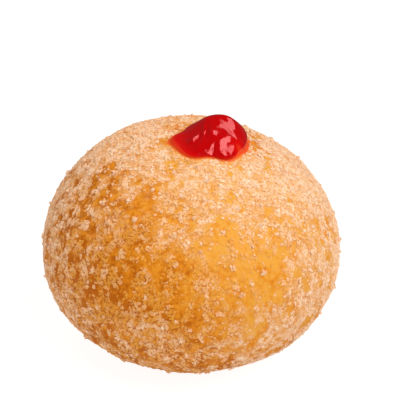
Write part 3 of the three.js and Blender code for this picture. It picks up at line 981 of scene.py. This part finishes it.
def grain_blocks(draw, middles, sizes, turns):
    """Chipped blocks of sugar: an oblong one for each middle, with its own sides, chips and turn."""
    count = len(middles)
    sides = sizes[:, None] * draw.uniform(*GRAIN_SIDES, (count, 3))
    corners = BLOCK[None] * sides[:, None] * draw.uniform(*GRAIN_CHIPS, (count, len(BLOCK), 1))
    points = np.einsum("nij,nkj->nki", turns, corners) + middles[:, None]
    faces = (BLOCK_FACES[None] + len(BLOCK) * np.arange(count)[:, None, None]).reshape(-1, 4)
    return points, faces


def share_above(points, feet, normals, full):
    """How much of its own whiteness a grain's corner has, by its height above the crust."""
    above = np.einsum("nkj,nj->nk", points - feet[:, None], normals)
    return FOOT_WHITENESS + (1 - FOOT_WHITENESS) * smooth(above, FOOT_DEPTH, full)


def sample_crust(crust, draw, count):
    """Random places on the crust, even over its area: a ring of the section, drawn by its area and moved
    up or down within its width, and any turn. Gives the places and the outward normals."""
    out, height = section(crust, FINE_RINGS)
    step = np.hypot(np.diff(out), np.diff(height))
    out, height = (out[1:] + out[:-1]) / 2, (height[1:] + height[:-1]) / 2
    weight = step * out
    ring = draw.choice(len(out), count, p=weight / weight.sum())
    wobble = draw.uniform(-0.5, 0.5, count)
    o = np.interp(ring + wobble, np.arange(len(out)), out)
    h = np.interp(ring + wobble, np.arange(len(out)), height)
    t = draw.uniform(0, TURN, count)
    places = crust_points(crust, o, h, t)
    slope_o, slope_h = np.gradient(out)[ring], np.gradient(height)[ring]
    aside = STEP_ASIDE / np.hypot(slope_o, slope_h)
    along = crust_points(crust, o + slope_o * aside, h + slope_h * aside, t) - places
    around = crust_points(crust, o, h, t + STEP_ASIDE / np.maximum(o, STEP_ASIDE)) - places
    return places, unit(np.cross(along, around))


def place_on_crust(crust, towards):
    """Where the crust is in a direction from the middle: the section's point whose own tilt is the same."""
    out, height = section(crust, FINE_RINGS)
    tilt = np.arctan2(height - crust.widest_level, out)
    wanted = np.arcsin(towards[:, 2])
    out, height = np.interp(-wanted, -tilt, out), np.interp(-wanted, -tilt, height)
    turn = np.arctan2(towards[:, 1] / crust.depth, towards[:, 0] / crust.width)
    return crust_points(crust, out, height, turn)


def turns_about(axes, angles):
    """Rotation matrices about unit axes by angles, by Rodrigues' formula."""
    x, y, z = axes.T
    nought = 0 * x
    cross = np.moveaxis(np.array([[nought, -z, y], [z, nought, -x], [-y, x, nought]]), -1, 0)
    sine, cosine = np.sin(angles)[:, None, None], np.cos(angles)[:, None, None]
    return np.eye(3) + sine * cross + (1 - cosine) * cross @ cross


def clumps(crust, jelly, sugar):
    """The clumps of the part's own source: an even spiral of places, roughened by sines, with the largest
    clumps the rarest. Gives middles, longest sides and turns."""
    number = np.arange(sugar.clump_places)
    aside = np.sin(number[:, None] * CLUMP_STEPS)
    towards = unit(even_directions(sugar.clump_places) + sugar.clump_scatter * aside)
    places = place_on_crust(crust, towards)
    size_share = (number * CLUMP_SIZE_STEP % 1) ** CLUMP_RARITY
    sides = sugar.smallest_clump + (sugar.largest_clump - sugar.smallest_clump) * size_share
    turns = turns_about(even_directions(CLUMP_AXES)[number % CLUMP_AXES], number)
    x, y = places[:, 0] - jelly.x, places[:, 1] - jelly.y
    from_jelly = np.hypot(x, y) - outline_radius(jelly, np.arctan2(y, x))
    near_jelly = (places[:, 2] > crust.widest_level) & (from_jelly < sugar.clear_of_jelly)
    keep = ~near_jelly & (places[:, 2] > sugar.lowest_clump)
    outward = unit(places - [0, 0, crust.widest_level])
    middles = places + outward * (crust.inset - sugar.clump_sunk * sides)[:, None]
    return middles[keep], sides[keep], turns[keep]


class DOUGHNUT_OT_clumps(bpy.types.Operator):
    """Build the clumps of sugar: each a block-shaped cluster of grains that stick together"""

    bl_idname = "doughnut.clumps"
    bl_label = "Clumps"

    def execute(self, context):
        scene = context.scene
        crust, jelly, sugar = scene.doughnut_crust, scene.doughnut_jelly, scene.doughnut_sugar
        draw = np.random.default_rng(sugar.seed + CLUMP_SEEDS)
        middles, sides, turns = clumps(crust, jelly, sugar)
        core = draw.uniform(-CLUMP_CORE, CLUMP_CORE, (CLUMP_GRAINS - len(BLOCK), 3))
        jitter = draw.uniform(-CLUMP_JITTER, CLUMP_JITTER, (len(middles), CLUMP_GRAINS, 3))
        spots = np.concatenate([BLOCK * CLUMP_CORNERS, core]) + jitter
        shape = [1, sugar.clump_breadth, sugar.clump_thickness]
        spots = np.einsum("nij,nkj->nki", turns, spots * shape * sides[:, None, None])
        places = (middles[:, None] + spots).reshape(-1, 3)
        sizes = np.repeat(sides, CLUMP_GRAINS) * draw.uniform(*CLUMP_GRAIN_SHARE, len(places))
        outward = np.repeat(unit(middles - [0, 0, crust.widest_level]), CLUMP_GRAINS, axis=0)
        points, faces = grain_blocks(draw, places, sizes, lying_turns(draw, outward, CLUMP_TILT))
        feet = np.repeat(middles, CLUMP_GRAINS, axis=0) - outward * crust.inset
        white_share = share_above(points, feet, outward, CLUMP_WHITE_ABOVE)
        points = points.reshape(-1, 3)
        material = sugar_material(sugar, crust)
        made = mesh_object("sugar_clumps", points, [faces], material, smooth_faces=False)
        # The whiteness areas add a painted sheen at the rims and painted shade near the table.
        whiteness = CLUMP_WHITENESS + area_sum(crust, places, WHITENESS)
        whiteness += draw.normal(0, CLUMP_GRAINS_VARY, len(places))
        add_values(made, "whiteness", np.clip(whiteness, 0, 1)[:, None] * white_share)
        add_values(made, "browning", np.repeat(browning_at(crust, places), len(BLOCK)))
        finish_piece(made)
        return {"FINISHED"}


class DOUGHNUT_OT_grains(bpy.types.Operator):
    """Scatter the loose grains of sugar over the crust, thick and thin as it was rolled"""

    bl_idname = "doughnut.grains"
    bl_label = "Grains"

    def execute(self, context):
        scene = context.scene
        crust, jelly, sugar = scene.doughnut_crust, scene.doughnut_jelly, scene.doughnut_sugar
        material = sugar_material(sugar, crust)
        for number, (kind, (count, smallest, largest)) in enumerate(GRAIN_KINDS.items()):
            draw = np.random.default_rng(sugar.seed + number)
            places, normals = sample_crust(crust, draw, TRIES * count)
            places = meet_jelly(crust, jelly, places)
            cover = sugar_cover(crust, places)
            on_crown = places[:, 2] > crust.widest_level
            clear = ~on_crown | (share_of_outline(jelly, places) > CLEAR_OF_RIM)
            clear &= places[:, 2] > LOWEST_GRAIN
            chance = np.maximum(smooth(cover, *BARE_TO_FULL), FEWEST)
            chance *= FEWER_SHARE + (1 - FEWER_SHARE) * smooth(places[:, 2], *FEWER_BELOW)
            keep = clear & (draw.uniform(0, 1, len(places)) < chance)
            places, normals, cover = places[keep][:count], normals[keep][:count], cover[keep][:count]
            sizes = draw.uniform(smallest, largest, len(places))
            lift = draw.uniform(*GRAIN_LIFT, len(places)) * sizes
            turns = lying_turns(draw, normals, GRAIN_TILT)
            points, faces = grain_blocks(draw, places + normals * lift[:, None], sizes, turns)
            white_share = share_above(points, places, normals, WHITE_ABOVE)
            points = points.reshape(-1, 3)
            points[:, 2] = np.maximum(points[:, 2], LOWEST_CORNER)
            made = mesh_object("sugar_" + kind, points, [faces], material, smooth_faces=False)
            # The whiteness areas add a painted sheen at the rims and painted shade near the table.
            whiteness = WHITE_BASE + WHITE_FLECKS * lattice_noise(places, FLECK, WHITE_SEED)
            whiteness += WHITE_BY_COVER * (cover - USUAL_COVER) + area_sum(crust, places, WHITENESS)
            whiteness += draw.normal(0, GRAINS_VARY, len(places))
            whiteness = np.clip(whiteness, 0, 1)
            add_values(made, "whiteness", whiteness[:, None] * white_share)
            add_values(made, "browning", np.repeat(browning_at(crust, places), len(BLOCK)))
            finish_piece(made)
        return {"FINISHED"}


# ---- Stage ----


def soft_light(name, spot, aim, side, power, mirrored):
    """A square softbox that faces the doughnut. The jelly shows it as a highlight if it is mirrored."""
    lamp = bpy.data.lights.new(name, "AREA")
    lamp.shape = "SQUARE"
    lamp.size = side
    lamp.energy = power
    made = bpy.data.objects.new(name, lamp)
    made.location = spot
    made.rotation_euler = (aim - Vector(spot)).to_track_quat("-Z", "Y").to_euler()
    made.visible_glossy = mirrored
    bpy.context.scene.collection.objects.link(made)


class DOUGHNUT_OT_stage(bpy.types.Operator):
    """Set the pale floor, the soft lights and the camera"""

    bl_idname = "doughnut.stage"
    bl_label = "Stage"

    def execute(self, context):
        scene = context.scene
        stage, crust = scene.doughnut_stage, scene.doughnut_crust
        middle = Vector((0, 0, crust.widest_level))

        camera = bpy.data.objects.new("camera", bpy.data.cameras.new("camera"))
        back = Vector((0, -math.cos(stage.camera_elevation), math.sin(stage.camera_elevation)))
        camera.location = middle + back * stage.camera_distance
        camera.rotation_euler = (-back).to_track_quat("-Z", "Y").to_euler()
        focal = stage.pixels_per_metre * stage.camera_distance
        camera.data.lens = focal / PICTURE * camera.data.sensor_width
        camera.data.shift_x = (PICTURE / 2 - stage.middle_x) / PICTURE
        camera.data.shift_y = (stage.middle_y - PICTURE / 2) / PICTURE
        scene.collection.objects.link(camera)
        scene.camera = camera

        corners = FLOOR_REACH * np.array([[-1, -1, 0], [1, -1, 0], [1, 1, 0], [-1, 1, 0]])
        floor = mesh_object("floor", corners, [np.array([[0, 1, 2, 3]])], floor_material(stage))
        floor.visible_glossy = False

        for name, (spot, side, power, mirrored) in LIGHTS.items():
            soft_light(name, spot, middle, side, power, mirrored)

        world = bpy.data.worlds.new("even_light")
        world.use_nodes = True
        background = world.node_tree.nodes["Background"].inputs
        background["Color"].default_value = (1, 1, 1, 1)
        background["Strength"].default_value = stage.sky
        scene.world = world
        scene.view_settings.view_transform = "Standard"
        return {"FINISHED"}


class DOUGHNUT_PT_panel(bpy.types.Panel):
    """Lists the operators and the settings in the sidebar"""

    bl_idname = "DOUGHNUT_PT_panel"
    bl_label = "Doughnut"
    bl_space_type = "VIEW_3D"
    bl_region_type = "UI"
    bl_category = "Doughnut"

    def draw(self, context):
        column = self.layout.column()
        for operator in OPERATORS:
            column.operator(operator.bl_idname)
        for name, settings in SETTINGS.items():
            for value in settings.__annotations__:
                column.prop(getattr(context.scene, name), value)


OPERATORS = (
    DOUGHNUT_OT_stage,
    DOUGHNUT_OT_crust,
    DOUGHNUT_OT_jelly,
    DOUGHNUT_OT_clumps,
    DOUGHNUT_OT_grains,
)
SETTINGS = {
    "doughnut_crust": CrustSettings,
    "doughnut_jelly": JellySettings,
    "doughnut_sugar": SugarSettings,
    "doughnut_stage": StageSettings,
}


def register():
    for made in (*SETTINGS.values(), *OPERATORS, DOUGHNUT_PT_panel):
        bpy.utils.register_class(made)
    for name, settings in SETTINGS.items():
        setattr(bpy.types.Scene, name, PointerProperty(type=settings))


def unregister():
    for name in SETTINGS:
        delattr(bpy.types.Scene, name)
    for made in reversed((*SETTINGS.values(), *OPERATORS, DOUGHNUT_PT_panel)):
        bpy.utils.unregister_class(made)


def main():
    register()
    bpy.ops.doughnut.stage()
    bpy.ops.doughnut.crust()
    bpy.ops.doughnut.jelly()
    bpy.ops.doughnut.clumps()
    bpy.ops.doughnut.grains()


if __name__ == "__main__":
    main()
